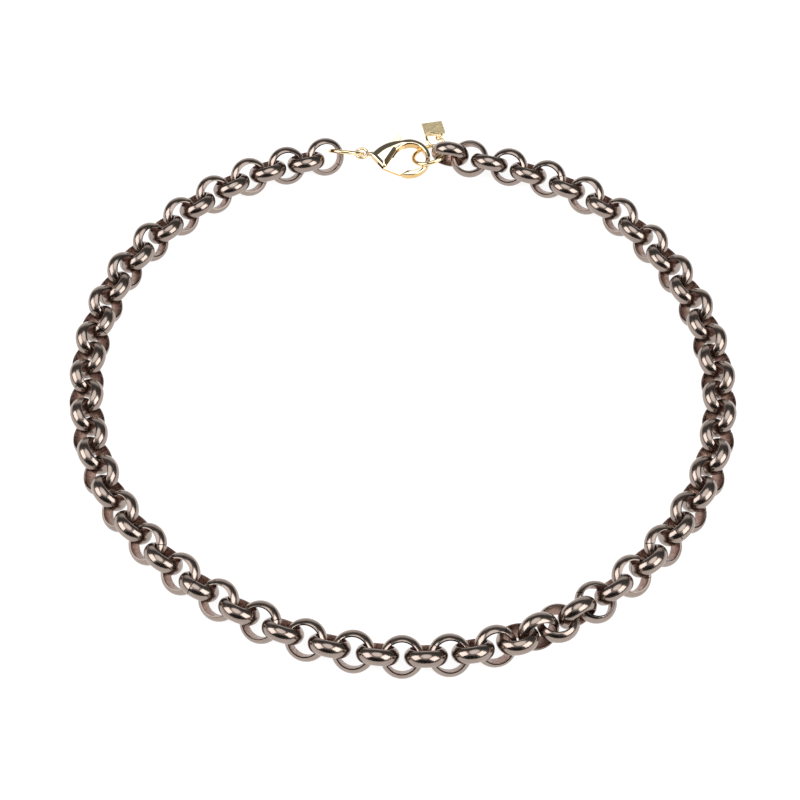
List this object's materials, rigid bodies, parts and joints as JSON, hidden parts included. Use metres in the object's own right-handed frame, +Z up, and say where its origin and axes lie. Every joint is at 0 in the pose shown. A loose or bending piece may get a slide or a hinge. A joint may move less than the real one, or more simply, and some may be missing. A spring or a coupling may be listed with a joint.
{
  "type": "rolo chain necklace",
  "caption": "Closed necklace of round domed rolo links in dark pewter tone, with a gold-tone lobster clasp, jump rings and a small square tag, laid in a round loop.",
  "frame": {"origin": "middle of the laid necklace's bounding box, on the surface that it lies on", "axes": "+Z up from the surface, +Y towards the clasp, +X towards the hook end of the clasp"},
  "size_m": [0.1532, 0.159, 0.0093],
  "materials": {
    "chain_metal": "dark pewter-toned plating, polished, slightly rubbed lighter on the rims",
    "clasp_metal": "pale gold plating, polished",
    "ring_metal": "pale gold plating, polished",
    "tag_metal": "pale gold plating, satin with fine texture"
  },
  "bodies": {
    "necklace": {"chain_left": "chain_metal", "chain_right": "chain_metal", "clasp_claw": "clasp_metal", "clasp_ring": "ring_metal", "end_ring": "ring_metal", "tag_ring": "ring_metal", "tag": "tag_metal"},
    "lever": {"clasp_lever": "clasp_metal"}
  },
  "joints": [
    {"name": "lever_hinge", "type": "hinge", "parent": "necklace", "child": "lever", "pos_m": [-0.00398, 0.06598, 0.0034], "axis": [-0.0015, -0.1569, 0.9876], "range_deg": [0, 15], "stiffness_Nm_per_rad": 0.005, "springref_deg": -28.65}
  ]
}
